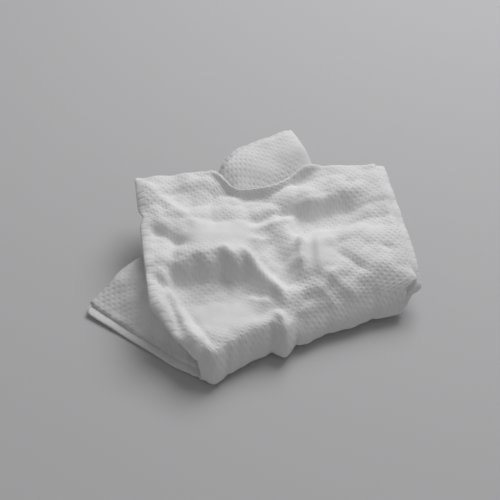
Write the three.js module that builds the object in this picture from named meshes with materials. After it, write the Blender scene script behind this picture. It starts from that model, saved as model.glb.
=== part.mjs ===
// A crumpled paper tissue.
//
// One rectangular sheet is folded in half and then in thirds, which makes a packet of six layers. The
// packet is folded over once more on a line across it, so that one half lies underneath and the other
// half on top, and then it is left crumpled. The whole sheet is one closed solid with a thin wall.
//
// Units are millimetres, +Z is up, and the sheet rests on the plane z = 0.

import * as THREE from "three";

// ---- the flat sheet and the packet it is folded into -------------------------------------------
const PACKET_WIDTH = 72;
const UPPER_LENGTH = 60;
const PANELS = 3;
const LAYERS = PANELS * 2;
const WALL = 0.12;
const BEND = 0.8;
const SIDE_BEND_REACH = 1;
const FAR_BEND_REACH = 0.6;

// ---- how fine the facets are -------------------------------------------------------------------
const STEPS_ACROSS = 11;
const STEPS_UNDER = 8;
const STEPS_ROLL = 4;
const STEPS_UPPER = 9;

// ---- corners of the two halves, seen from above ------------------------------------------------
const FOLD_LEFT = [-14.2, -43.9];
const FOLD_RIGHT = [41.2, -21.6];
const FLAP_TIP = [-47.3, -20.4];
const PETAL_TIP = [10.6, 28.6];
const TOP_LEFT = [-34.2, 13.4];
const TOP_RIGHT = [36.6, 18.3];
const ROLL_REACH = 3.2;
const INNER_LAYER = 1.1;

// ---- heights -----------------------------------------------------------------------------------
const FRONT_HEIGHT = 9.5;
const SHELF_HEIGHT = 12;
const LEAST_STACK = 3.2;
const LEAST_STACK_UNDER = 1.9;
const SCARP_LEFT = 8.6;
const SCARP_RIGHT = 2.6;
const PETAL_RISE = 9.5;
const DIP = 8;

// Hills (height above zero) and hollows (below) on the upper half: x, y, long radius, short radius,
// turn in degrees, height.
const HILLS = [
  [-12, -8.5, 13, 6, 0, 1],
  [-8, -38, 11, 4, 16, 0.9],
  [2, -20, 10, 3, -48, 2],
  [5.8, -14, 8.5, 4.4, -66, -2],
  [13, -12, 7, 3.5, -86, 1.6],
  [19, 1.5, 10, 4.5, 14, -3.6],
  [20, 9, 10, 4, 12, 1.2],
  [28, -6, 10, 6, -10, 1.2],
  [33, -20, 10, 6, -20, 1.6],
  [-27, 6, 9, 3.5, -45, 1.6],
  [-20, 12, 14, 4.5, 4, 1.2],
];

const mix = (a, b, t) => a + (b - a) * t;
const mixPoint = (a, b, t) => [mix(a[0], b[0], t), mix(a[1], b[1], t)];
const clamp = (value, low, high) => Math.min(high, Math.max(low, value));
const smooth = (low, high, value) => {
  const t = clamp((value - low) / (high - low), 0, 1);
  return t * t * (3 - 2 * t);
};
const bell = (value) => Math.exp(-value * value);
const foldLine = new THREE.Vector2(FOLD_RIGHT[0] - FOLD_LEFT[0], FOLD_RIGHT[1] - FOLD_LEFT[1]).normalize();
const foldOut = [foldLine.y, -foldLine.x];

// Height of one hill at a point seen from above: an oval bell.
function hillAt(x, y, [cx, cy, long, short, turn, height]) {
  const angle = THREE.MathUtils.degToRad(turn);
  const along = (x - cx) * Math.cos(angle) + (y - cy) * Math.sin(angle);
  const across = (y - cy) * Math.cos(angle) - (x - cx) * Math.sin(angle);
  return height * bell(Math.hypot(along / long, across / short));
}

// How far a point lies behind the front fold, seen from above.
function behindFold(x, y) {
  return Math.max(0, -((x - FOLD_LEFT[0]) * foldOut[0] + (y - FOLD_LEFT[1]) * foldOut[1]));
}

// How far a point lies inside the flap's front side, the line from its tip to the left end of the fold.
function sideDistance(x, y) {
  const side = new THREE.Vector2(FOLD_LEFT[0] - FLAP_TIP[0], FOLD_LEFT[1] - FLAP_TIP[1]).normalize();
  return Math.max(0, (y - FLAP_TIP[1]) * side.x - (x - FLAP_TIP[0]) * side.y);
}

// How far the top half's far edge dips where the petal stands behind it: a step on its left, a ramp on
// its right.
function edgeDip(x) {
  return DIP * smooth(-14, -4, x) * smooth(18, 2, x);
}

// Far edge of the top half over a place x.
function topEdge(x) {
  const share = (x - TOP_LEFT[0]) / (TOP_RIGHT[0] - TOP_LEFT[0]);
  return mix(TOP_LEFT[1], TOP_RIGHT[1], share) - edgeDip(x);
}

// Underside of the heap: flat on the ground in the middle, lifted towards the corners.
function undersideHeight(x, y) {
  const along = (x + 4) * foldLine.x + (y + 16) * foldLine.y;
  const across = (y + 16) * foldLine.x - (x + 4) * foldLine.y;
  const outside = Math.hypot(along / 30, across / 20) - 1;
  const petal = 13 * smooth(6, 30, y) * bell((x - 8) / 20);
  return 1.6 * Math.max(0, outside) + petal;
}

// Surface between the two halves: it shows as the left flap and the back petal.
function middleHeight(x, y) {
  const pressed = 1 - 0.55 * bell(sideDistance(x, y) / 8);
  const heap = (3.5 + 8.8 * (1 - Math.exp(-behindFold(x, y) / 16))) * pressed;
  const pastEdge = y - topEdge(x);
  const petal = PETAL_RISE * smooth(-11, -1, pastEdge) * smooth(-30, -6, x) * smooth(34, 16, x);
  const flap = -3 * smooth(-26, -46, x);
  return undersideHeight(x, y) * 0.2 + heap + petal + flap;
}

// Upper surface of the top half. On the right it is a mound. On the left it is a shelf behind the
// front fold, and then a steep scarp up to the back.
function topHeight(x, y) {
  const behind = behindFold(x, y);
  const mound = FRONT_HEIGHT + 2.6 * (1 - Math.exp(-behind / 4)) + 8.5 * (1 - Math.exp(-behind / 21));
  const shelf = SHELF_HEIGHT + 1.4 * (1 - Math.exp(-behind / 2.5)) - 0.09 * Math.min(behind, 20);
  const right = smooth(-8, 2.5, x);
  const scarp = mix(SCARP_LEFT, SCARP_RIGHT, right) * smooth(-23.4, -15.5, y + 0.6 * Math.max(0, x));
  const rise = 5.2 * right * smooth(-26, -9, y);
  let height = mix(mound, shelf + scarp + rise, smooth(-34, -18, x) * smooth(10, 2, x + 0.3 * (y + 20)));
  height += 1.6 * smooth(0, 36, x) * smooth(-10, 20, y) + 1.4 * smooth(20, 44, x) * bell(behind / 14);
  height -= 1.4 * smooth(-12, -36, x) * smooth(-20, 10, y);
  for (const hill of HILLS) {
    height += hillAt(x, y, hill) * smooth(0, 9, behind);
  }
  return Math.max(height, middleHeight(x, y) + LEAST_STACK);
}

// The half that lies underneath, seen from above. reach runs from its far edge (0) to the front fold (1).
function underPlan(across, reach) {
  const far = mixPoint(FLAP_TIP, PETAL_TIP, across);
  const bulge = 5.6 * bell((across - 0.78) / 0.16) + 1.2 * bell((across - 0.2) / 0.16);
  const point = mixPoint(far, mixPoint(FOLD_LEFT, FOLD_RIGHT, across), reach);
  point[0] -= 0.66 * bulge * (1 - reach);
  point[1] += 0.75 * bulge * (1 - reach);
  return point;
}

// The half that lies on top, seen from above. reach runs from the front fold (0) to its far edge (1).
// Its left side has a blunt corner a quarter of the way up, and its right side a small one near the
// fold.
function upperPlan(across, reach) {
  const near = mixPoint(FOLD_LEFT, FOLD_RIGHT, across);
  const point = mixPoint(near, mixPoint(TOP_LEFT, TOP_RIGHT, across), reach);
  const leftCorner = 6.5 * Math.min(reach / 0.25, (1 - reach) / 0.75);
  const rightCorner = 2.2 * (reach / 0.18) * Math.exp(1 - reach / 0.18) + 4 * reach * (1 - reach);
  point[0] += rightCorner * across ** 3 - leftCorner * (1 - across) ** 2;
  point[1] -= edgeDip(point[0]) * reach ** 5;
  return point;
}

// How closely the six layers of the top half lie together: loose inside, pressed at the sides and the
// far edge.
function looseness(across, reach) {
  return mix(1, 0.6, Math.max(bell(across / 0.22), bell((1 - across) / 0.22), bell((1 - reach) / 0.3)));
}

// How closely the layers of the lower half lie together: loose in the heap, pressed in the petal.
function petalLooseness(across, reach) {
  return mix(1, 0.12, bell(reach / 0.45) * smooth(0.35, 0.7, across));
}

// Pushes that move everything in a region together: the wavy front, the pulled tip on the right and
// the nick in the left side.
function pushed(x, y, z) {
  const near = Math.exp(-behindFold(x, y) / 9);
  const corner = 1.8 * bell((x + 15) / 5);
  const wave = 3.2 * smooth(-11, -2, x) * smooth(60, 24, x) - 1.6 * bell((x - 8.4) / 3.4) + corner;
  const tip = 1.6 * bell((y + 17.5) / 7) * smooth(20, 46, x);
  const nick = 0.8 * bell((y + 0.6) / 4) * smooth(-26, -33, x);
  return new THREE.Vector3(x + tip + nick, y + wave * near, z);
}

// Rows of points along one length of the packet: the lower half, the turn at the front and the upper
// half.
function packetRows() {
  const rows = [];
  for (let i = 0; i <= STEPS_UNDER; i += 1) {
    rows.push({ upper: false, reach: i / STEPS_UNDER, angle: -90 });
  }
  for (let i = 1; i < STEPS_ROLL; i += 1) {
    const angle = mix(-90, 90, i / STEPS_ROLL);
    rows.push({ upper: angle > 0, reach: angle > 0 ? 0 : 1, angle });
  }
  for (let i = 0; i <= STEPS_UPPER; i += 1) {
    rows.push({ upper: true, reach: i / STEPS_UPPER, angle: 90 });
  }
  return rows;
}

// Columns of points over the width of the sheet: three panels, with a bend between each two.
function sheetColumns() {
  const columns = [];
  for (let panel = 0; panel < PANELS; panel += 1) {
    for (let i = 0; i <= STEPS_ACROSS; i += 1) {
      const share = mix(BEND, PACKET_WIDTH - BEND, i / STEPS_ACROSS) / PACKET_WIDTH;
      columns.push({ panel, across: panel === 1 ? 1 - share : share, bend: 0 });
    }
    if (panel < PANELS - 1) {
      columns.push({ panel, across: panel === 0 ? 1 : 0, bend: 1 });
    }
  }
  return columns;
}

// The layer, counted from the innermost, of a column on the first half of the sheet (half 0), on its
// second half (half 1) or on the bend between them (half 0.5).
function layerOf({ panel, bend }, half) {
  if (bend === 1) {
    return panel * 2 + 1.5;
  }
  return panel === 1 ? 3 - half : panel * 2 + half;
}

// How far a bend stands out past the packet's side: the outer turn goes round the inner one.
function bendReach({ panel, bend }, half) {
  const radius = panel === 0 ? 1.5 - half : 0.5 + half;
  return bend * radius * SIDE_BEND_REACH;
}

// Lays one point of the folded packet where it ends up in the crumpled heap.
function crumpledPoint(column, row, half) {
  const side = column.across > 0.5 ? 1 : -1;
  const across = column.across + side * bendReach(column, half) / PACKET_WIDTH;
  const reach = half === 0.5 ? 1 + FAR_BEND_REACH / UPPER_LENGTH : row.reach;
  const angle = THREE.MathUtils.degToRad(row.angle);
  const fromMiddle = (layerOf(column, half) + INNER_LAYER) / (LAYERS - 1 + INNER_LAYER);
  const [x, y] = row.upper ? upperPlan(across, reach) : underPlan(across, reach);
  const middle = middleHeight(x, y);
  const out = ROLL_REACH * fromMiddle * Math.cos(angle);
  const depth = middle - undersideHeight(x, y);
  const stackUnder = Math.max(Math.min(LEAST_STACK_UNDER, depth), depth * petalLooseness(across, reach));
  let height = middle - stackUnder * fromMiddle * Math.abs(Math.sin(angle));
  if (row.upper) {
    const top = topHeight(x, y);
    const loose = mix(1, looseness(across, reach), smooth(0, 0.15, reach));
    const stack = Math.max(Math.min(LEAST_STACK, top - middle), (top - middle) * loose);
    height = mix(middle, top - stack * (1 - fromMiddle), Math.abs(Math.sin(angle)));
  }
  return pushed(x + foldOut[0] * out, y + foldOut[1] * out, height);
}

// Direction out of the sheet at every point, from its neighbours on both sides. Where two bends cross,
// the neighbours fold onto each other, so the two bends' own directions are added.
function outwardDirections(points, columns, rows) {
  const at = (i, j) => points[clamp(i, 0, columns - 1) * rows + clamp(j, 0, rows - 1)];
  const direction = (i, j) => {
    const across = at(i + 1, j).clone().sub(at(i - 1, j)).normalize();
    const along = at(i, j + 1).clone().sub(at(i, j - 1)).normalize();
    return across.cross(along);
  };
  return points.map((_, k) => {
    const i = Math.floor(k / rows);
    const j = k % rows;
    const own = direction(i, j);
    if (own.length() < 0.3) {
      own.copy(direction(i - 1, j).normalize()).add(direction(i, j - 1).normalize());
    }
    return own.normalize();
  });
}

// The sheet as a closed wall: the crumpled surface moved out by half the wall on each side, and a rim
// round it.
function tissueGeometry() {
  const columns = sheetColumns();
  const oneWay = packetRows();
  const lines = [
    ...oneWay.map((row) => ({ row, half: 0 })),
    { row: oneWay.at(-1), half: 0.5 },
    ...oneWay.toReversed().map((row) => ({ row, half: 1 })),
  ];
  const middle = columns.flatMap((column) => (
    lines.map(({ row, half }) => crumpledPoint(column, row, half))
  ));
  const count = middle.length;
  const rows = lines.length;
  const faces = [];
  for (let i = 0; i < columns.length - 1; i += 1) {
    const panel = columns[i].panel + columns[i].bend;
    for (let j = 0; j < rows - 1; j += 1) {
      const a = i * rows + j;
      const [b, c, d] = [a + rows, a + rows + 1, a + 1];
      if ((panel === 1) === (j >= oneWay.length)) {
        faces.push([a, b, c], [a, c, d]);
      } else {
        faces.push([a, b, d], [b, c, d]);
      }
    }
  }
  const directions = outwardDirections(middle, columns.length, rows);
  const points = new Float32Array(count * 2 * 3);
  for (let side = 0; side < 2; side += 1) {
    const shift = (side === 0 ? 1 : -1) * WALL / 2;
    for (let i = 0; i < count; i += 1) {
      const at = (side * count + i) * 3;
      const height = Math.max(WALL / 2, middle[i].z);
      points[at] = middle[i].x + directions[i].x * shift;
      points[at + 1] = middle[i].y + directions[i].y * shift;
      points[at + 2] = Math.max(0, height + directions[i].z * shift);
    }
  }
  const index = [...faces];
  for (const [a, b, c] of faces) {
    index.push([a + count, c + count, b + count]);
  }
  const last = (columns.length - 1) * rows;
  const rim = [];
  for (let i = 0; i < columns.length - 1; i += 1) {
    rim.push([i * rows, (i + 1) * rows], [(i + 2) * rows - 1, (i + 1) * rows - 1]);
  }
  for (let j = 0; j < rows - 1; j += 1) {
    rim.push([j + 1, j], [last + j, last + j + 1]);
  }
  for (const [a, b] of rim) {
    index.push([a, a + count, b + count], [a, b + count, b]);
  }
  const solid = new THREE.BufferGeometry();
  solid.setAttribute("position", new THREE.BufferAttribute(points, 3));
  solid.setIndex(index.flat());
  solid.computeBoundingBox();
  const { min, max } = solid.boundingBox;
  solid.translate(-(min.x + max.x) / 2, -(min.y + max.y) / 2, -min.z);
  return solid;
}

const paper = new THREE.MeshStandardMaterial({ color: 0xf2f1f2, roughness: 0.95, metalness: 0 });
const tissue = new THREE.Mesh(tissueGeometry(), paper);
tissue.name = "tissue";

const group = new THREE.Group();
group.add(tissue);

export default group;
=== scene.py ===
# %% [markdown]
# A crumpled paper tissue: one embossed sheet, folded into a packet, folded over skew and left crumpled. The
# shape is one surface of two parameters. A place on the flat sheet is folded into the packet, the packet is laid
# out as seen from above, and its height comes from three surfaces: the underside, the middle between the two
# halves, and the top.
#
# The frame comes first. It holds the plain CAD body, which this sheet replaces, and its box says where the
# finished mesh has to lie.

# %% Load the frame
import math

import bpy
import mathutils
import numpy as np
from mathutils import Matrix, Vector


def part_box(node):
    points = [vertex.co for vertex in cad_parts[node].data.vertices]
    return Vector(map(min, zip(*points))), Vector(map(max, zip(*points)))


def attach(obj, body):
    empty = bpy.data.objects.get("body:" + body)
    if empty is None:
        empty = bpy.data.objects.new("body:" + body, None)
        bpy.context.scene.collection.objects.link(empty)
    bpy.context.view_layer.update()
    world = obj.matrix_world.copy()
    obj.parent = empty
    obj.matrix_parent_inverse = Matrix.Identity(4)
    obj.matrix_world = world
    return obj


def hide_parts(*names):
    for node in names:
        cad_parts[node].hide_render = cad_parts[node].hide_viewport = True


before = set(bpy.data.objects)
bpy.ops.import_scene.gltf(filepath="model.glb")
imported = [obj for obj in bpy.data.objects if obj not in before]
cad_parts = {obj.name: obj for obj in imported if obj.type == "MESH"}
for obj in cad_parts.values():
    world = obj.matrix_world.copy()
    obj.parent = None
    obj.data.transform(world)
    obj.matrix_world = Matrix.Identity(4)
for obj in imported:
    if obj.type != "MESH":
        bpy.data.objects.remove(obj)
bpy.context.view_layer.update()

MM = 0.001
cad_low, cad_high = (np.array(corner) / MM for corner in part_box("tissue"))
print("CAD box in millimetres", cad_low.round(2), cad_high.round(2))

# %% [markdown]
# The sheet. A pocket tissue is a rectangle of soft paper, folded in half and then in thirds, so the packet has
# six layers. It could be draped by a cloth simulation, but a packet that has kept its folds is better described
# by its folds: every layer takes its height from the same surfaces, so the layers follow each other. All lengths
# below are in millimetres, and they become metres only when the mesh is made.

# %% Sizes of the sheet and the packet
PACKET_WIDTH = 72
PACKET_LENGTH = 105
PANELS = 3
LAYERS = PANELS * 2
SHEET_LENGTH = PACKET_LENGTH * 2

# %% [markdown]
# Helpers. Nearly every shape below is a blend: from one value to another, or from nothing to something over a
# span. Each helper works on a whole array at once, so no step has to loop over the mesh's points.

# %% Helpers that blend values over whole arrays


def mix(a, b, t):
    """a where t is 0, b where t is 1, and in proportion between."""
    return a + (b - a) * t


def mix_points(a, b, t):
    """The points in proportion t on the way from a to b."""
    return a + (b - a) * np.asarray(t)[..., None]


def smooth(low, high, value):
    """0 below low, 1 above high, and an S-shaped cubic between; low may be above high."""
    t = np.clip((value - low) / (high - low), 0, 1)
    return t * t * (3 - 2 * t)


def bell(value):
    """e to the power of minus value squared."""
    return np.exp(-value * value)


def rise(distance, reach):
    """0 at no distance, and towards 1 as e to minus the distance over the reach fades."""
    return 1 - np.exp(-distance / reach)


print("a quarter of the way, smooth gives", smooth(0, 1, 0.25))

# %% [markdown]
# The outline from above. The packet is folded over at the front, on a line that runs skew. The lower half sticks
# out past the upper one as a flap on the left and as a petal at the back. The corners could be measured on the
# flat sheet and turned about the fold, but crumpling has moved them, so each is given one by one.

# %% Corners of the packet, and the direction of the front fold
FOLD_LEFT = np.array([-14.2, -43.9])
FOLD_RIGHT = np.array([41.2, -21.6])
FLAP_TIP = np.array([-47.3, -20.4])
PETAL_TIP = np.array([10.6, 28.6])
TOP_LEFT = np.array([-34.2, 13.4])
TOP_RIGHT = np.array([36.6, 18.3])
FOLD_LINE = (FOLD_RIGHT - FOLD_LEFT) / np.linalg.norm(FOLD_RIGHT - FOLD_LEFT)
FOLD_OUT = np.array([FOLD_LINE[1], -FOLD_LINE[0]])
print("the fold faces", FOLD_OUT.round(2))

# %% [markdown]
# The relief. Crumpling leaves soft hills and hollows, and sharp creases where the paper was pinched. Hills are
# oval bells, and creases are roofs along a line: the height falls off on both sides of the line, at its own
# rate on each, so one can be a step that faces the front or a thin pinched ridge. They are listed one by one.
# Between them the skin of the paper is small shallow domes, which are too many to place, so they are seeded.

# %% Hills
# x, y, long radius, short radius, turn in degrees, height
HILLS = [
    (-12, -8.5, 13, 6, 0, 1.0),
    (-8, -38, 11, 3.6, 16, 0.9),
    (-12, -21.5, 10, 2.6, -4, -1.4),
    (5.8, -14.0, 8.5, 4.4, -66, -4.4),
    (-20, 12, 14, 4.5, 4, 1.6),
    (28, -6, 10, 6, -10, 1.2),
    (33, -20, 10, 6, -20, 1.6),
    (-31, 8, 6, 5, 0, 1.0),
    (14, -24, 9, 5, 10, 0.8),
    (-18, 6, 10, 5, 10, -1.4),
    (20, 9, 10, 4, 12, 1.4),
]


def hills_at(x, y):
    """Sum of oval bells: height times e to minus the squared distance, measured in the oval's own radii."""
    total = np.zeros_like(x)
    for cx, cy, long, short, turn, height in HILLS:
        c, s = math.cos(math.radians(turn)), math.sin(math.radians(turn))
        along, across = (x - cx) * c + (y - cy) * s, (y - cy) * c - (x - cx) * s
        total += height * bell(np.hypot(along / long, across / short))
    return total


print(len(HILLS), "hills and hollows")

# %% Creases
# x and y of both ends, width on the left of the line, width on its right, height
CREASES = [
    (-22, -14.5, -14, -16.4, 5, 1.4, 1.2),
    (-15, -16.2, -5.2, -13.4, 5, 1.4, 1.4),
    (-4.6, -12.6, 8.8, -27.8, 1.5, 3.2, 3.9),
    (-34, 12, -16, -5, 2.4, 4.0, 2.2),
    (-31, -3.6, -18.1, -11.8, 1.0, 3.6, -2.4),
    (-2, -3.4, 5.7, 1.2, 0.8, 2.6, -1.8),
    (5.2, 1.0, 15, 3.0, 0.8, 3.0, -2.4),
    (-9.5, -13.5, -3.5, -19.5, 0.8, 1.8, 2.0),
    (-0.5, -12.0, 9.0, -22.5, 0.8, 1.6, -1.3),
    (-1, -5.4, 10, -1.0, 1.2, 1.0, 1.1),
    (17, -7.0, 18.2, -22, 3.0, 1.8, 2.4),
    (12.6, -5.6, 12.6, -20, 1.2, 4.0, 4.0),
    (-27, -1.5, -7, -3.5, 2.2, 2.2, -1.1),
    (-18, -24.4, -11.5, -22.8, 0.7, 1.2, 0.8),
    (-4.6, -23.0, 2.6, -26.4, 0.7, 1.3, -1.3),
    (-3.0, -25.2, 4.4, -29.0, 0.8, 1.2, 0.9),
    (-1.5, -9.5, 5.0, -7.0, 0.8, 1.2, 1.0),
    (22.5, 3.0, 41, 6.5, 0.8, 2.2, -0.6),
    (23, -18.0, 16.5, -28, 0.9, 1.1, 0.8),
    (15, -22, 24, -31, 1.2, 1.4, 0.9),
    (20, -20, 30, -28, 1.0, 1.6, 0.8),
    (21.7, -12, 31.7, -19.2, 0.8, 3.0, -1.5),
    (24, -1.6, 41, 1.5, 1.4, 4, -1.2),
    (-29.1, -20.2, -18.7, -26.6, 0.9, 2.0, -1.8),
    (-18, -22, -4, -22.4, 0.8, 1.6, 1.1),
    (-25.4, -28.9, -14, -42, 1.6, 2.6, 1.2),
    (6.1, -31.0, 9.4, -39.5, 1.4, 1.1, 2.0),
    (12.0, -31.5, 12.9, -38.5, 1.1, 1.4, -2.0),
    (34.7, -9.9, 38.7, -10.9, 0.6, 0.9, -0.8),
    (-25.5, -20, -14.5, -42, 0.7, 0.9, 1.6),
    (-27.5, -19, -18, -40, 0.6, 0.7, -1.4),
    (-21.5, -24, -11, -42, 0.7, 0.8, -1.2),
]
CREASE_ROUND = 0.4
CREASE_STARTS = (-0.15, 0.3)
CREASE_ENDS = (1.15, 0.7)


def creases_at(x, y):
    """Sum of roofs: height times e to minus the distance from the line over the width, faded at both ends."""
    total = np.zeros_like(x)
    for x0, y0, x1, y1, left, right, height in CREASES:
        length = math.hypot(x1 - x0, y1 - y0)
        tx, ty = (x1 - x0) / length, (y1 - y0) / length
        along, across = (x - x0) * tx + (y - y0) * ty, (y - y0) * tx - (x - x0) * ty
        width = np.where(across > 0, left, right)
        rounded = np.hypot(across, CREASE_ROUND) - CREASE_ROUND
        ends = smooth(*CREASE_STARTS, along / length) * smooth(*CREASE_ENDS, along / length)
        total += height * np.exp(-rounded / width) * ends
    return total


print(len(CREASES), "creases")

# %% Pillows
# spacing, height of a dome, steepness of its tilt, random seed
PILLOWS = [(11, 0.6, 0.08, 3), (5, 0.38, 0.1, 8), (2.7, 0.12, 0.05, 5)]
PILLOW_FIELD = (-60, 61)
PILLOW_JITTER = 0.45
FAR_BELOW = -1e9


def pillows_at(x, y):
    """Crumpled skin: at each place the highest of many small domes, so that domes meet in sharp valleys."""
    total = np.zeros_like(x)
    for spacing, depth, tilt, seed in PILLOWS:
        random = np.random.default_rng(seed)
        steps = np.arange(*PILLOW_FIELD, spacing)
        across, along = np.meshgrid(steps, steps)
        centres = np.stack([across, along], axis=-1).reshape(-1, 2)
        centres = centres + random.uniform(-PILLOW_JITTER, PILLOW_JITTER, centres.shape) * spacing
        tilts = random.uniform(-tilt, tilt, centres.shape)
        highest = np.full_like(x, FAR_BELOW)
        for (cx, cy), (tx, ty) in zip(centres, tilts):
            dx, dy = x - cx, y - cy
            dome = tx * dx + ty * dy - depth * (dx * dx + dy * dy) * 4 / spacing ** 2
            highest = np.maximum(highest, dome)
        total += highest + depth / 2
    return total


print("domes", [pitch for pitch, *_ in PILLOWS], "mm apart")

# %% [markdown]
# Where the paper is pulled smooth. On the highest folds the paper is taut, so the domes and later the pressed
# dots fade there. A few ovals say where.

# %% Smooth places
# x, y, long radius, short radius
SMOOTH_PLACES = [(-11, -9, 13, 4.5), (-8, -31, 14, 6), (2.5, -20.5, 4, 5), (17, -13, 4, 7), (18, 22, 6, 5)]


def stretched_at(x, y):
    """How much the paper is pulled smooth: the highest of a few oval bells."""
    ovals = [bell(np.hypot((x - cx) / long, (y - cy) / short)) for cx, cy, long, short in SMOOTH_PLACES]
    return np.max(ovals, axis=0)


print(len(SMOOTH_PLACES), "smooth places")

# %% [markdown]
# The height surfaces. Each is a sum of simple terms in x and y. The terms fade in and out over named spans: a
# pair of numbers, the place where a term begins and the place where it is whole. First come distances that
# several surfaces need.

# %% Distances from the folds and edges
DIP = 8
DIP_LEFT, DIP_RIGHT = (-14, -4), (18, 2)


def behind_fold(x, y):
    """Distance behind the front fold, seen from above, and 0 in front of it."""
    return np.maximum(0, -((x - FOLD_LEFT[0]) * FOLD_OUT[0] + (y - FOLD_LEFT[1]) * FOLD_OUT[1]))


def side_distance(x, y):
    """Distance inside the flap's front side, the line from its tip to the left end of the fold."""
    side = (FOLD_LEFT - FLAP_TIP) / np.linalg.norm(FOLD_LEFT - FLAP_TIP)
    return np.maximum(0, (y - FLAP_TIP[1]) * side[0] - (x - FLAP_TIP[0]) * side[1])


def edge_dip(x):
    """How far the upper half's far edge dips in front of the petal: full between two S-shaped slopes."""
    return DIP * smooth(*DIP_LEFT, x) * smooth(*DIP_RIGHT, x)


def top_edge(x):
    """y of the upper half's far edge: a straight line less the dip."""
    share = (x - TOP_LEFT[0]) / (TOP_RIGHT[0] - TOP_LEFT[0])
    return mix(TOP_LEFT[1], TOP_RIGHT[1], share) - edge_dip(x)


def above_least(height, least, rounding):
    """The height, but never under the least one, with the corner between the two rounded."""
    gap = height - least
    return least + 0.5 * (gap + np.sqrt(gap * gap + rounding))


print("far edge at x = 0:", round(float(top_edge(0.0)), 2))

# %% [markdown]
# The underside is flat in an oval where it lies on the ground, and lifts outside it and under the petal. The
# middle surface parts the two halves of the packet: it is a heap behind the fold, pressed down along the flap,
# and it steps up at the back, where the petal shows past the far edge of the upper half.

# %% Underside
GROUND_CENTRE, GROUND_RADII = (-4, -16), (30, 20)
EDGE_LIFT = 1.6
PETAL_LIFT, PETAL_LIFT_Y = 13, (6, 30)
PETAL_X, PETAL_WIDTH = 8, 20


def underside_height(x, y):
    """Distance outside an oval on the ground, as a slope, plus the lift under the petal."""
    dx, dy = x - GROUND_CENTRE[0], y - GROUND_CENTRE[1]
    along, across = dx * FOLD_LINE[0] + dy * FOLD_LINE[1], dy * FOLD_LINE[0] - dx * FOLD_LINE[1]
    outside = np.hypot(along / GROUND_RADII[0], across / GROUND_RADII[1]) - 1
    petal = PETAL_LIFT * smooth(*PETAL_LIFT_Y, y) * bell((x - PETAL_X) / PETAL_WIDTH)
    return EDGE_LIFT * np.maximum(0, outside) + petal


print("underside at the petal's tip:", round(float(underside_height(*PETAL_TIP)), 2))

# %% Middle
UNDERSIDE_SHARE = 0.2
HEAP_FRONT, HEAP_HEIGHT, HEAP_REACH = 3.5, 8.8, 16
FLAP_PRESS, FLAP_PRESS_WIDTH = 0.55, 8
FLAP_FALL, FLAP_X = 3, (-26, -46)
STEP_HEIGHT, STEP_SPAN = 6.8, (-3.8, 0.2)
PETAL_RISE, PETAL_RISE_SPAN = 2.7, (0, 9)
PETAL_LEFT, PETAL_RIGHT = (-22, -10), (34, 12)
HEAP_PILLOWS, FLAP_PILLOWS, PILLOWS_X = 0.6, 1.4, (-18, -30)
LEAST_STACK_UNDER, UNDER_ROUNDING = 1.5, 0.2


def middle_height(x, y):
    """A heap that rises behind the fold, plus the petal's rise past the far edge, less the flap's fall."""
    heap = HEAP_FRONT + HEAP_HEIGHT * rise(behind_fold(x, y), HEAP_REACH)
    heap *= 1 - FLAP_PRESS * bell(side_distance(x, y) / FLAP_PRESS_WIDTH)
    past = y - top_edge(x)
    petal = STEP_HEIGHT * smooth(*STEP_SPAN, past) + PETAL_RISE * smooth(*PETAL_RISE_SPAN, past)
    petal *= smooth(*PETAL_LEFT, x) * smooth(*PETAL_RIGHT, x)
    skin = mix(HEAP_PILLOWS, FLAP_PILLOWS, smooth(*PILLOWS_X, x)) * pillows_at(x, y)
    underside = underside_height(x, y)
    middle = underside * UNDERSIDE_SHARE + heap + petal + skin - FLAP_FALL * smooth(*FLAP_X, x)
    return above_least(middle, underside + LEAST_STACK_UNDER, UNDER_ROUNDING)


print("middle at x = 0, y = 0:", round(float(middle_height(np.zeros(1), np.zeros(1))[0]), 2))

# %% [markdown]
# The top. On the right it is a mound. On the left it is a shelf behind the fold, then a steep scarp up to the
# back, which makes the pocket. The foot and the lip of the scarp are uneven lines. A hollow on the right has a
# wall that faces the front. Hills, creases and pillows come on top, and the surface is never closer to the
# middle than a pressed stack of six layers.

# %% Mound
FRONT_HEIGHT = 9.5
# height and reach of the quick rise behind the fold and of the slow one
QUICK_RISE, SLOW_RISE = (2.6, 4), (8.5, 21)
BACK_RISE, BACK_X, BACK_Y = 1.6, (0, 36), (-10, 20)
CORNER_RISE, CORNER_X, CORNER_REACH = 1.4, (20, 44), 14
RIGHT_HILL, RIGHT_HILL_PLACE, RIGHT_HILL_RADII = 0.6, (27, -16), (12, 8)
LEFT_FALL, LEFT_X, LEFT_Y = 1.4, (-12, -36), (-20, 10)


def mound_height(behind):
    """The front height plus two rises, quick and slow, that each come near their own height far behind."""
    return FRONT_HEIGHT + QUICK_RISE[0] * rise(behind, QUICK_RISE[1]) + SLOW_RISE[0] * rise(behind, SLOW_RISE[1])


def broad_slopes(x, y, behind):
    """Gentle extra height at the back right, along the right of the fold and on the right, less on the left."""
    centre, radii = RIGHT_HILL_PLACE, RIGHT_HILL_RADII
    height = BACK_RISE * smooth(*BACK_X, x) * smooth(*BACK_Y, y)
    height += CORNER_RISE * smooth(*CORNER_X, x) * bell(behind / CORNER_REACH)
    height += RIGHT_HILL * bell((x - centre[0]) / radii[0]) * bell((y - centre[1]) / radii[1])
    return height - LEFT_FALL * smooth(*LEFT_X, x) * smooth(*LEFT_Y, y)


print("mound 20 mm behind the fold:", round(float(mound_height(20)), 2))

# %% Shelf, scarp and hollow
SHELF_HEIGHT, SHELF_RISE, SHELF_REACH = 12, 1.4, 2.5
SHELF_TILT, SHELF_DEPTH = 0.13, 17
SHELF_LEFT, SHELF_RIGHT, SHELF_SKEW, SHELF_Y = (-27, -17), (10, 2), 0.3, -20
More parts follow.
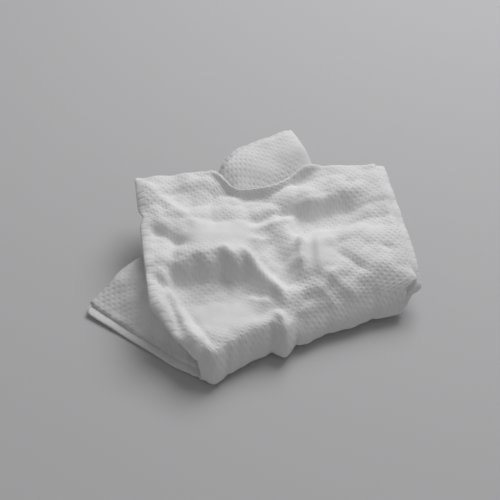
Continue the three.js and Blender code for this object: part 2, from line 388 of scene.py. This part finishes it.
# x along the scarp, and the y of its foot and of its lip at each
SCARP_X = [-26, -21, -17, -13, -9, -6, -3, 1.8, 7.5]
SCARP_FOOT = [-19.5, -22.6, -25.0, -24.8, -22.0, -23.8, -22.6, -26.0, -30.5]
SCARP_LIP = [-15.5, -17.6, -15.0, -16.4, -15.8, -14.6, -13.4, -18.0, -22.5]
SCARP_LEFT, SCARP_RIGHT, SCARP_CHANGE = 8.6, 2.2, (-7, 1.5)
SCARP_RIPPLE, RIPPLE_LENGTH = 0.35, 1.1
RAMP_HEIGHT, RAMP_Y = 5.2, (-26, -9)
HOLLOW_DEPTH, HOLLOW_TILT, HOLLOW_WALL, HOLLOW_FLOOR = 5.5, 0.35, (5.2, 0), (-11, -1)
HOLLOW_X, HOLLOW_Y, HOLLOW_LEFT, HOLLOW_RIGHT = 14, -0.6, (8, 14.5), (34, 24)


def stepped_height(x, y, behind):
    """A shelf that tips back, plus the scarp's S-shaped rise, which turns into a ramp on the right."""
    foot, lip = np.interp(x, SCARP_X, SCARP_FOOT), np.interp(x, SCARP_X, SCARP_LIP)
    scarp = smooth(foot, lip, y + SCARP_RIPPLE * np.sin(x / RIPPLE_LENGTH))
    right = smooth(*SCARP_CHANGE, x)
    shelf = SHELF_HEIGHT + SHELF_RISE * rise(behind, SHELF_REACH) - SHELF_TILT * np.minimum(behind, SHELF_DEPTH)
    return shelf + mix(SCARP_LEFT, SCARP_RIGHT, right) * scarp + RAMP_HEIGHT * right * smooth(*RAMP_Y, y)


def shelf_share(x, y):
    """1 where the shelf takes the mound's place, 0 where the mound stays."""
    return smooth(*SHELF_LEFT, x) * smooth(*SHELF_RIGHT, x + SHELF_SKEW * (y - SHELF_Y))


def hollow_at(x, y):
    """Depth of the hollow: its wall drops quickly in front of a tilted line, and its floor comes up slowly."""
    wall = y - HOLLOW_Y - HOLLOW_TILT * (x - HOLLOW_X)
    sides = smooth(*HOLLOW_LEFT, x) * smooth(*HOLLOW_RIGHT, x)
    return HOLLOW_DEPTH * smooth(*HOLLOW_WALL, wall) * smooth(*HOLLOW_FLOOR, wall) * sides


print("scarp from", min(SCARP_FOOT), "to", max(SCARP_LIP))

# %% Top
LEAST_STACK, TOP_ROUNDING = 3.2, 1
HILLS_SPAN, CREASES_SPAN = (0, 9), (-2, 3)
SMOOTHED, RIGHT_PILLOWS, RIGHT_PILLOWS_X = 0.9, 0.55, (18, 28)


def top_height(x, y):
    """Mound or shelf, plus slopes, hills, creases and pillows, and at least a pressed stack above the middle."""
    behind = behind_fold(x, y)
    skin = pillows_at(x, y) * (1 - SMOOTHED * stretched_at(x, y))
    skin *= mix(1, RIGHT_PILLOWS, smooth(*RIGHT_PILLOWS_X, x))
    height = mix(mound_height(behind), stepped_height(x, y, behind), shelf_share(x, y))
    height += broad_slopes(x, y, behind) - hollow_at(x, y) + hills_at(x, y) * smooth(*HILLS_SPAN, behind)
    height += (creases_at(x, y) + skin) * smooth(*CREASES_SPAN, behind)
    return above_least(height, middle_height(x, y) + LEAST_STACK, TOP_ROUNDING)


print("top at x = 0, y = 0:", round(float(top_height(np.zeros(1), np.zeros(1))[0]), 2))

# %% [markdown]
# The plan. Each half of the packet is a patch between four corners, seen from above. Its sides bulge or have
# blunt corners where the crumpling pushed them out. Two shares place a point on it: across, from the left side
# to the right, and reach, along the packet.

# %% The two halves seen from above
# place across, width and size of each bulge in the lower half's far edge, and the way that edge faces
UNDER_BULGES = [(0.78, 0.16, 5.6), (0.2, 0.16, 1.2)]
UNDER_FACES = (-0.66, 0.75)
LEFT_CORNER, LEFT_CORNER_AT = 7.5, 0.25
RIGHT_CORNER, RIGHT_CORNER_AT, RIGHT_BELLY = 2.6, 0.18, 4
DIP_POWER = 5


def under_plan(across, reach):
    """The patch between flap tip, petal tip and fold, with its far edge bulging out by two bells."""
    far = mix_points(FLAP_TIP, PETAL_TIP, across)
    point = mix_points(far, mix_points(FOLD_LEFT, FOLD_RIGHT, across), reach)
    bulge = sum(size * bell((across - place) / width) for place, width, size in UNDER_BULGES) * (1 - reach)
    return point[..., 0] + UNDER_FACES[0] * bulge, point[..., 1] + UNDER_FACES[1] * bulge


def upper_plan(across, reach):
    """The patch between fold and far edge, with a blunt corner on each side and the dip in the far edge."""
    near, far = mix_points(FOLD_LEFT, FOLD_RIGHT, across), mix_points(TOP_LEFT, TOP_RIGHT, across)
    point = mix_points(near, far, reach)
    left = LEFT_CORNER * np.minimum(reach / LEFT_CORNER_AT, (1 - reach) / (1 - LEFT_CORNER_AT))
    nearness = reach / RIGHT_CORNER_AT
    right = RIGHT_CORNER * nearness * np.exp(1 - nearness) + RIGHT_BELLY * reach * (1 - reach)
    x = point[..., 0] + right * np.clip(across, 0, 2) ** 3 - left * (1 - across) ** 2
    return x, point[..., 1] - edge_dip(x) * reach ** DIP_POWER


print("upper half's left side at its corner:", round(float(upper_plan(0.0, LEFT_CORNER_AT)[0]), 2))

# %% [markdown]
# Layers are loose inside the packet and pressed together at its sides. They also slide on each other a little
# along the packet, by a different amount for each layer, so that the edges don't lie in one line. The slide
# comes before the heights are worked out, so a layer that has slid still follows the layer under it.

# %% Loose, pressed and slid layers
PRESSED, SIDE_PRESS, FAR_PRESS = 0.42, 0.22, 0.3
# one number for each layer, from the innermost out
SLIDE_UPPER = (-0.6, -0.2, 1.3, 1.1, 0.1, 0.0)
SLIDE_UNDER = (0.0, 0.9, 0.4, -0.7, -1.3, 0.5)
SLIDE_RIGHT = (0.5, 0.3, 0.8, 0.9, 0.7, -0.2)
UPPER_REACH, UPPER_ACROSS, UPPER_LEAST = (0.6, 1), (0.5, 0.2), 0.4
UNDER_REACH = (0.35, 0)
RIGHT_ACROSS, RIGHT_REACH = (0.75, 1), (0, 0.2)


def looseness(across, reach):
    """1 inside the packet, falling by bells at its sides and far edge, where the layers are pressed."""
    sides = np.maximum(bell(across / SIDE_PRESS), bell((1 - across) / SIDE_PRESS))
    return mix(1, PRESSED, np.maximum(sides, bell((1 - reach) / FAR_PRESS)))


def layer_slide(layer, across, reach, is_upper):
    """Shift of each layer in x and y, in proportion between whole layers, faded away from the far edges."""
    upper, under, right = (np.interp(layer, range(LAYERS), by_layer)
                           for by_layer in (SLIDE_UPPER, SLIDE_UNDER, SLIDE_RIGHT))
    upper_x = right * smooth(*RIGHT_ACROSS, across) * smooth(*RIGHT_REACH, reach)
    upper_y = upper * smooth(*UPPER_REACH, reach) * (UPPER_LEAST + smooth(*UPPER_ACROSS, across))
    under_x, under_y = (face * under * smooth(*UNDER_REACH, reach) for face in UNDER_FACES)
    return np.where(is_upper, upper_x, under_x), np.where(is_upper, upper_y, under_y)


print("largest slide", max(map(abs, SLIDE_UPPER + SLIDE_UNDER + SLIDE_RIGHT)), "mm")

# %% [markdown]
# The front fold is pleated and wavy, its right end is pulled to a tip, and the left side has a small nick.
# These pushes come last, and they move every layer at a place together.

# %% Sideways pushes
# x, width and push of the pleats in the front fold; a push above zero is a groove, below zero a finger
PLEATS = [(-16.5, 1.1, -0.7), (-13.8, 0.9, 0.9), (-11.0, 1.2, -0.6), (-7.5, 1.0, 0.8), (-3.0, 1.3, -0.5),
          (4.4, 1.1, 1.0), (8.2, 1.3, -0.9), (11.2, 0.9, 1.1), (14.6, 1.2, -0.5), (20, 1.4, 0.5),
          (27, 1.6, -0.4), (33, 1.2, 0.5)]
PLEAT_REACH, PLEAT_POWER = 9, 3
WAVE, WAVE_LEFT, WAVE_RIGHT = 3.2, (-11, -2), (60, 24)
# x, width and push of two single bulges of the front
FRONT_BULGES = [(8.4, 3.4, -1.6), (-15, 5, 1.8)]
TIP_PULL, TIP_Y, TIP_WIDTH, TIP_X, TIP_Z = 3.4, -20, 3.2, (30, 46), (3, 9)
NICK, NICK_Y, NICK_WIDTH, NICK_X = 1.2, -0.6, 1.6, (-26, -33)


def crumple_sideways(x, y, z):
    """The points after three pushes: the wave and the pleats in y, the pulled tip and the nick in x."""
    near = np.exp(-behind_fold(x, y) / PLEAT_REACH)
    pleats = sum(push * bell((x - place) / width) for place, width, push in PLEATS)
    wave = WAVE * smooth(*WAVE_LEFT, x) * smooth(*WAVE_RIGHT, x)
    wave = wave + sum(push * bell((x - place) / width) for place, width, push in FRONT_BULGES)
    tip = TIP_PULL * bell((y - TIP_Y) / TIP_WIDTH) * smooth(*TIP_X, x) * smooth(*TIP_Z, z)
    nick = NICK * bell((y - NICK_Y) / NICK_WIDTH) * smooth(*NICK_X, x)
    return np.stack([x + tip + nick, y + wave * near + pleats * near ** PLEAT_POWER, z], axis=-1)


print(len(PLEATS), "pleats")

# %% [markdown]
# The grid. Columns run across the sheet, three panels with a half-round bend between each two, and rows run
# along it: the lower half, the turn at the front, the upper half, the far bend, and back again. Every column
# and row knows where it lies in the folded packet and on the flat sheet. Steps are finer on the side of the
# sheet that ends up on top.

# %% Columns across the sheet
BEND = 0.8
BEND_STEPS = 6
PANEL_STEPS = (52, 44, 84)


def sheet_columns():
    """Share across the packet, bend number, bend angle and flat place of every column, panel by panel."""
    inner, outer = BEND / PACKET_WIDTH, 1 - BEND / PACKET_WIDTH
    turn = np.pi * np.arange(1, BEND_STEPS) / BEND_STEPS
    panels = [
        (np.linspace(inner, outer, PANEL_STEPS[0] + 1), 0, 0.0),
        (np.linspace(outer, inner, PANEL_STEPS[1] + 1), 0, np.pi),
        (np.linspace(inner, outer, PANEL_STEPS[2] + 1), 1, np.pi),
    ]
    across, number, angle, flat = [], [], [], []
    for panel, (share, bend, bend_angle) in enumerate(panels):
        across.append(share)
        number.append(np.full(share.size, bend))
        angle.append(np.full(share.size, bend_angle))
        flat.append(np.linspace(panel * PACKET_WIDTH + BEND, (panel + 1) * PACKET_WIDTH - BEND, share.size))
        if panel < PANELS - 1:
            across.append(mix(share[-1], 1 - panel, np.sin(turn)))
            number.append(np.full(turn.size, panel))
            angle.append(turn)
            flat.append((panel + 1) * PACKET_WIDTH + BEND * (2 * turn / np.pi - 1))
    return (np.concatenate(part)[:, None] for part in (across, number, angle, flat))


print("panels of", PANEL_STEPS, "steps")

# %% Rows along the sheet
# steps in the lower half, the front turn and the upper half, on the way out and on the way back
ROWS_OUT = (44, 12, 40)
ROWS_BACK = (26, 12, 88)


def packet_rows(under_steps, roll_steps, upper_steps):
    """Reach and roll angle of every row over one length of the packet, from far edge to far edge."""
    roll = np.linspace(-90, 90, roll_steps + 1)[1:-1]
    under, upper = np.linspace(0, 1, under_steps + 1), np.linspace(0, 1, upper_steps + 1)
    reach = [under, np.where(roll > 0, 0.0, 1.0), upper]
    angle = [np.full(under_steps + 1, -90.0), roll, np.full(upper_steps + 1, 90.0)]
    return np.concatenate(reach), np.concatenate(angle)


def sheet_rows():
    """Reach, roll angle and far-bend angle of every row: one length, the far bend, and back."""
    reach_out, angle_out = packet_rows(*ROWS_OUT)
    reach_back, angle_back = (row[::-1] for row in packet_rows(*ROWS_BACK))
    turn = np.pi * np.arange(1, BEND_STEPS) / BEND_STEPS
    reach = np.concatenate([reach_out, np.ones(turn.size), reach_back])
    angle = np.concatenate([angle_out, np.full(turn.size, 90.0), angle_back])
    far = np.concatenate([np.zeros(reach_out.size), turn, np.full(reach_back.size, np.pi)])
    return (part[None, :] for part in (reach, angle, far))


print("rows out and back", sum(ROWS_OUT), sum(ROWS_BACK))

# %% [markdown]
# The fold. Every crossing of a column and a row becomes a point. The bends give it a layer between 0 and 5, the
# plan gives its x and y, and the layer sets how high it lies between two of the surfaces. In the upper half that
# is between the middle and the top, and in the lower half between the underside and the middle. The front turn
# carries each layer round in its own half circle, the outer layers further out.

# %% Fold and crumple the grid
SIDE_BEND_REACH = 1.0
FAR_BEND_REACH = 0.6
TURN_LEFT, TURN_RIGHT = 42, 60
ROLL_HALF = 4.2
ROLL_REACH = 3.2
INNER_LAYER = 1.1
LOOSE_SPAN = (0, 0.15)
# where the two bends lie and how wide they are, counted in layers
BEND_MIDDLES, BEND_RADII = (1.5, 3.5), (1.5, 0.5)
UNDER_LEAST, UNDER_CLEAR = 0.6, 0.1
UNDER_PRESSED, UNDER_PRESS_REACH, UNDER_PRESS_ACROSS = 0.12, 0.45, (0.35, 0.7)


def layer_number(number, bend_angle, half):
    """Layer of every point, 0 to 5, and how far out of the packet's side it bulges.

    The first is the middle of its bend less the bend's radius times the cosine of the bend angle, and the
    second is the radius times the sine. Past the far bend the wide bend is a layer tighter and the tight one a
    layer wider, because the sheet comes back on its own other side.
    """
    radius = np.where(number == 0, BEND_RADII[0] - half, BEND_RADII[1] + half)
    return np.where(number == 0, *BEND_MIDDLES) - radius * np.cos(bend_angle), radius * np.sin(bend_angle)


def stacked_heights(x, y, across, reach, from_middle, roll_angle, is_upper):
    """Height of every point: from the middle up to the top or down to the underside, by its layer's share."""
    middle, top, underside = middle_height(x, y), top_height(x, y), underside_height(x, y)
    turned = np.where(is_upper, np.abs(roll_angle) / 90, np.abs(np.sin(np.radians(roll_angle))))
    loose = mix(1, looseness(across[0], reach), smooth(*LOOSE_SPAN, reach))
    stack = np.maximum(np.minimum(LEAST_STACK, top - middle), (top - middle) * loose)
    over = mix(middle, top - stack * (1 - from_middle), turned)
    pressed = bell(reach / UNDER_PRESS_REACH) * smooth(*UNDER_PRESS_ACROSS, across[1])
    pack = (middle - underside) * mix(1, UNDER_PRESSED, pressed)
    least = np.minimum(LEAST_STACK * UNDER_LEAST, middle - underside - UNDER_CLEAR)
    return np.where(is_upper, over, middle - np.maximum(least, pack) * from_middle * turned)


def flat_place(flat_x, reach, roll_angle, turn_at, upper_length, half):
    """Where every point lies on the flat sheet, measured along both of its sides from one corner."""
    under, upper = reach * (turn_at - ROLL_HALF), turn_at + ROLL_HALF + reach * upper_length
    along = np.where(roll_angle > 0, upper, under)
    along = np.where(np.abs(roll_angle) < 90, turn_at + ROLL_HALF * roll_angle / 90, along)
    flat_y = np.where(half < 0.5, along, SHEET_LENGTH - along)
    return np.stack([np.broadcast_to(flat_x, flat_y.shape), flat_y], axis=-1)


def crumpled_sheet():
    """Points of the crumpled sheet, their places on the flat sheet, and how far the paper is pulled smooth."""
    across, number, bend_angle, flat_x = sheet_columns()
    reach, roll_angle, far_angle = sheet_rows()
    half = (1 - np.cos(far_angle)) / 2
    layer, out_of_bend = layer_number(number, bend_angle, half)
    sideways = across + np.where(across > 0.5, 1, -1) * out_of_bend * SIDE_BEND_REACH / PACKET_WIDTH
    turn_at = mix(TURN_LEFT, TURN_RIGHT, across)
    upper_length = PACKET_LENGTH - turn_at - ROLL_HALF
    reach = np.broadcast_to(reach, sideways.shape) + np.sin(far_angle) * FAR_BEND_REACH / upper_length
    from_middle = (layer + INNER_LAYER) / (LAYERS - 1 + INNER_LAYER)
    is_upper = np.broadcast_to(roll_angle > 0, sideways.shape)

    under_x, under_y = under_plan(sideways, np.where(is_upper, 1, reach))
    upper_x, upper_y = upper_plan(sideways, np.where(is_upper, reach, 0))
    slide_x, slide_y = layer_slide(layer, across, reach, is_upper)
    x, y = np.where(is_upper, upper_x, under_x) + slide_x, np.where(is_upper, upper_y, under_y) + slide_y
    z = stacked_heights(x, y, (sideways, across), reach, from_middle, roll_angle, is_upper)
    out = ROLL_REACH * from_middle * np.cos(np.radians(roll_angle))
    points = crumple_sideways(x + FOLD_OUT[0] * out, y + FOLD_OUT[1] * out, z)
    return points, flat_place(flat_x, reach, roll_angle, turn_at, upper_length, half), stretched_at(x, y)


points, flat, stretched = crumpled_sheet()
columns, rows = points.shape[:2]
print("grid of", columns, "columns and", rows, "rows")

# %% [markdown]
# The wall. The surface is moved out by half the paper's thickness on both sides, and the four free edges are
# closed by a rim. Solidify could do it, but at a sharp fold it averages normals that point opposite ways, so
# the direction is taken from the neighbours on both sides instead. It isn't perfect: the wall's two sides
# cross at some sharp folds, and some neighbouring layers cross where the stack is pressed on a steep place.

# %% Which way the sheet faces
WEAK_CROSS = 0.3
TINY = 1e-9
BORDER = ((1, 1), (1, 1), (0, 0))


def outward(grid):
    """Unit cross product of the differences between the neighbours in the two grid directions.

    Where that is weak, at a sharp fold, the sum of the four neighbours' cross products takes its place.
    """
    step = np.pad(grid, BORDER, mode="edge")
    over, along = step[2:, 1:-1] - step[:-2, 1:-1], step[1:-1, 2:] - step[1:-1, :-2]
    over /= np.linalg.norm(over, axis=-1, keepdims=True)
    along /= np.linalg.norm(along, axis=-1, keepdims=True)
    cross = np.cross(over, along)
    size = np.linalg.norm(cross, axis=-1, keepdims=True)
    spread = np.pad(cross, BORDER, mode="edge")
    around = spread[2:, 1:-1] + spread[:-2, 1:-1] + spread[1:-1, 2:] + spread[1:-1, :-2]
    cross = np.where(size < WEAK_CROSS, around, cross)
    return cross / np.maximum(np.linalg.norm(cross, axis=-1, keepdims=True), TINY)


facing = outward(points)
print("directions for", facing.shape[0] * facing.shape[1], "points")

# %% Faces of both sides and the rim


def wall_faces(column_count, row_count):
    """Quads of both sides and the rim, as indices into the first side's points and then the second's."""
    index = np.arange(column_count * row_count).reshape(column_count, row_count)
    quad = np.stack([index[:-1, :-1], index[1:, :-1], index[1:, 1:], index[:-1, 1:]], axis=-1).reshape(-1, 4)
    border = np.concatenate([index[:-1, 0], index[-1, :-1], index[:0:-1, -1], index[0, :0:-1]])
    following = np.roll(border, -1)
    rim = np.stack([border, border + index.size, following + index.size, following], axis=-1)
    return np.concatenate([quad, quad[:, ::-1] + index.size, rim])


faces = wall_faces(columns, rows)
print(len(faces), "faces")

# %% [markdown]
# The mesh. Both sides' points are shifted together, so that the sheet's box has the middle of the CAD body's box
# and stands on the ground. The place on the flat sheet goes in as a UV map, and the pull as an attribute, for
# the paper's pattern. Then the piece is put on the one body, and the CAD solid it stands in for is hidden.

# %% Make the tissue
WALL = 0.17


def make_tissue():
    """The finished mesh object, and the shift that centres its box on the CAD body's and stands it on z = 0."""
    shift = facing * WALL / 2
    lifted = points.copy()
    lifted[..., 2] = np.maximum(lifted[..., 2], WALL / 2)
    both = np.concatenate([(lifted + shift).reshape(-1, 3), (lifted - shift).reshape(-1, 3)])
    both[:, 2] = np.maximum(both[:, 2], 0)
    low, high = both.min(axis=0), both.max(axis=0)
    offset = (cad_low + cad_high) / 2 - (low + high) / 2
    offset[2] = cad_low[2] - low[2]
    mesh = bpy.data.meshes.new("tissue_sheet")
    mesh.from_pydata(((both + offset) * MM).tolist(), [], faces.tolist())
    place = np.concatenate([flat.reshape(-1, 2)] * 2) * MM
    mesh.uv_layers.new(name="flat_sheet").data.foreach_set("uv", place[faces].ravel())
    pulled = mesh.attributes.new(name="stretched", type="FLOAT", domain="POINT")
    pulled.data.foreach_set("value", np.concatenate([stretched.ravel()] * 2))
    mesh.polygons.foreach_set("use_smooth", np.ones(len(faces), dtype=bool))
    mesh.update()
    sheet = bpy.data.objects.new("tissue_sheet", mesh)
    bpy.context.scene.collection.objects.link(sheet)
    print("tissue box", (low + offset).round(2), (high + offset).round(2))
    return sheet, offset


tissue, offset = make_tissue()
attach(tissue, "root")
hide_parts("tissue")

# %% [markdown]
# The paper. Tissue is a matt white felt of fibres with a square lattice of pressed pin dots, turned 45 degrees
# to the edges. The dots follow the flat sheet, so they are worked out from the UV map, which holds each
# point's place on the flat sheet in metres. They are too small for geometry and go in as bump. The shader maths
# is easier to read as Python expressions, so a small class turns them into nodes.

# %% A class for writing shader maths as expressions


class Wire:
    """A node's output socket. Operators on it add Math nodes, and node() adds any other node."""

    def __init__(self, tree, socket=None):
        self.tree, self.socket = tree, socket

    def node(self, kind, settings=None, inputs=None, output=0):
        """Adds a node, first with its settings, then its sockets' values or links, and returns one output."""
        made = self.tree.nodes.new(kind)
        for name, value in (settings or {}).items():
            setattr(made, name, value)
        for key, value in (inputs or {}).items():
            if isinstance(value, Wire):
                self.tree.links.new(value.socket, made.inputs[key])
            else:
                made.inputs[key].default_value = value
        return Wire(self.tree, made.outputs[output])

    def math(self, operation, *values):
        """Adds a Math node on the given values or wires."""
        return self.node("ShaderNodeMath", {"operation": operation}, dict(enumerate(values)))

    def __add__(self, other):
        return self.math("ADD", self, other)

    def __sub__(self, other):
        return self.math("SUBTRACT", self, other)

    def __rsub__(self, other):
        return self.math("SUBTRACT", other, self)

    def __mul__(self, other):
        return self.math("MULTIPLY", self, other)

    __radd__, __rmul__ = __add__, __mul__


# %% Tissue paper
DOT_PITCH = 1.4 * MM
DOT_DEPTH = 0.085 * MM
DOT_RIM, DOT_FLOOR = 0.38, 0.08
FIBRE_DEPTH, FIBRE_SCALE, FIBRE_DETAIL = 0.05 * MM, 2600.0, 3.0
PATCH_SCALE, PATCH_DETAIL = 120.0, 2.0
PAPER_COLOUR = (0.8, 0.79, 0.8, 1)
PAPER_ROUGHNESS, PAPER_SPECULAR = 0.95, 0.2


def paper_material():
    """Matt white, with pin dots where the nearest lattice point is close, and fibres as noise.

    A dot's depth is one inside its floor and fades to zero at its rim, and less of it is left in some patches.
    """
    material = bpy.data.materials.new("tissue_paper")
    material.use_nodes = True
    tree = material.node_tree
    start = Wire(tree)
    uv = start.node("ShaderNodeUVMap", {"uv_map": "flat_sheet"}, output="UV")
    u, v = (start.node("ShaderNodeSeparateXYZ", None, {0: uv}, output) for output in ("X", "Y"))
    per_dot = 1 / (DOT_PITCH * math.sqrt(2))
    across, along = (u + v) * per_dot, (u - v) * per_dot
    from_across, from_along = start.math("FRACT", across) - 0.5, start.math("FRACT", along) - 0.5
    distance = start.math("SQRT", from_across * from_across + from_along * from_along)
    dot = start.node("ShaderNodeMapRange", {"interpolation_type": "SMOOTHSTEP"},
                     {"Value": distance, "From Min": DOT_RIM, "From Max": DOT_FLOOR})
    place = start.node("ShaderNodeTexCoord", output="Object")
    fibre, patch = (
        start.node("ShaderNodeTexNoise", None, {"Vector": place, "Scale": scale, "Detail": detail})
        for scale, detail in ((FIBRE_SCALE, FIBRE_DETAIL), (PATCH_SCALE, PATCH_DETAIL)))
    pulled = start.node("ShaderNodeAttribute", {"attribute_name": "stretched"}, output="Fac")
    height = fibre * FIBRE_DEPTH - dot * (patch * (1 - pulled)) * (2 * DOT_DEPTH)
    bump = start.node("ShaderNodeBump", None, {"Height": height, "Strength": 1.0, "Distance": 1.0})
    shader = tree.nodes["Principled BSDF"]
    tree.links.new(bump.socket, shader.inputs["Normal"])
    shader.inputs["Base Color"].default_value = PAPER_COLOUR
    shader.inputs["Roughness"].default_value = PAPER_ROUGHNESS
    shader.inputs["Specular IOR Level"].default_value = PAPER_SPECULAR
    print("paper with", len(tree.nodes), "nodes")
    return material


tissue.data.materials.append(paper_material())

# %% [markdown]
# The stage: a plain pale floor, which isn't part of the object. A real studio would use a sweep of paper, but a
# flat square that runs out past the view is enough here.

# %% Floor
FLOOR_HALF = 1.5
FLOOR_COLOUR = (0.52, 0.52, 0.53, 1)
FLOOR_ROUGHNESS = 0.9
floor_mesh = bpy.data.meshes.new("floor")
floor_corners = [(FLOOR_HALF * x, FLOOR_HALF * y, 0) for x, y in ((-1, -1), (1, -1), (1, 1), (-1, 1))]
floor_mesh.from_pydata(floor_corners, [], [(0, 1, 2, 3)])
floor = bpy.data.objects.new("floor", floor_mesh)
bpy.context.scene.collection.objects.link(floor)
floor_material = bpy.data.materials.new("floor_paint")
floor_material.use_nodes = True
floor_shader = floor_material.node_tree.nodes["Principled BSDF"]
floor_shader.inputs["Base Color"].default_value = FLOOR_COLOUR
floor_shader.inputs["Roughness"].default_value = FLOOR_ROUGHNESS
floor_mesh.materials.append(floor_material)
print("floor", 2 * FLOOR_HALF, "m square")

# %% [markdown]
# The light. Small relief shows best in light that comes from one side. A large soft square above and behind
# gives the folds soft shadows that fall to the front, and a weak even fill keeps those shadows open.

# %% Lights
LIGHT_PLACE = (0.15, 0.29, 0.47)
LIGHT_TARGET = (0, 0, 0.01)
LIGHT_SIZE, LIGHT_POWER = 0.34, 2.15
FILL_COLOUR, FILL_STRENGTH = (1, 1, 1, 1), 0.24


def soft_light(name, place, target, size, power):
    """A square area light at a place, turned to face a target."""
    data = bpy.data.lights.new(name, "AREA")
    data.size, data.energy = size, power
    light = bpy.data.objects.new(name, data)
    light.location = place
    light.rotation_mode = "QUATERNION"
    direction = mathutils.Vector(target) - mathutils.Vector(place)
    light.rotation_quaternion = direction.to_track_quat("-Z", "Y")
    bpy.context.scene.collection.objects.link(light)
    return light


soft_light("top_light", LIGHT_PLACE, LIGHT_TARGET, LIGHT_SIZE, LIGHT_POWER)
world = bpy.data.worlds.new("studio")
bpy.context.scene.world = world
world.use_nodes = True
world.node_tree.nodes["Background"].inputs["Color"].default_value = FILL_COLOUR
world.node_tree.nodes["Background"].inputs["Strength"].default_value = FILL_STRENGTH
bpy.context.scene.view_settings.view_transform = "Standard"
print("light of", LIGHT_POWER, "W and fill of", FILL_STRENGTH)

# %% [markdown]
# The camera looks down on the heap from the front, as one does at litter on the ground. A wide lens close by
# would spread the near edge, so a fairly long one is used.

# %% Camera
CAMERA_RISE = math.radians(50)
CAMERA_DISTANCE = 250
CAMERA_TARGET = np.array([-1.45, -5.74, 10.0])
CAMERA_LENS, CAMERA_SENSOR, CAMERA_NEAREST = 62.1, 36, 0.01
camera_data = bpy.data.cameras.new("camera")
camera_data.lens, camera_data.sensor_width, camera_data.clip_start = CAMERA_LENS, CAMERA_SENSOR, CAMERA_NEAREST
camera = bpy.data.objects.new("camera", camera_data)
back = np.array([0, -math.cos(CAMERA_RISE), math.sin(CAMERA_RISE)])
camera.location = (CAMERA_TARGET + offset + back * CAMERA_DISTANCE) * MM
camera.rotation_euler = (math.pi / 2 - CAMERA_RISE, 0, 0)
bpy.context.scene.collection.objects.link(camera)
bpy.context.scene.camera = camera
print("camera at", [round(c, 3) for c in camera.location])
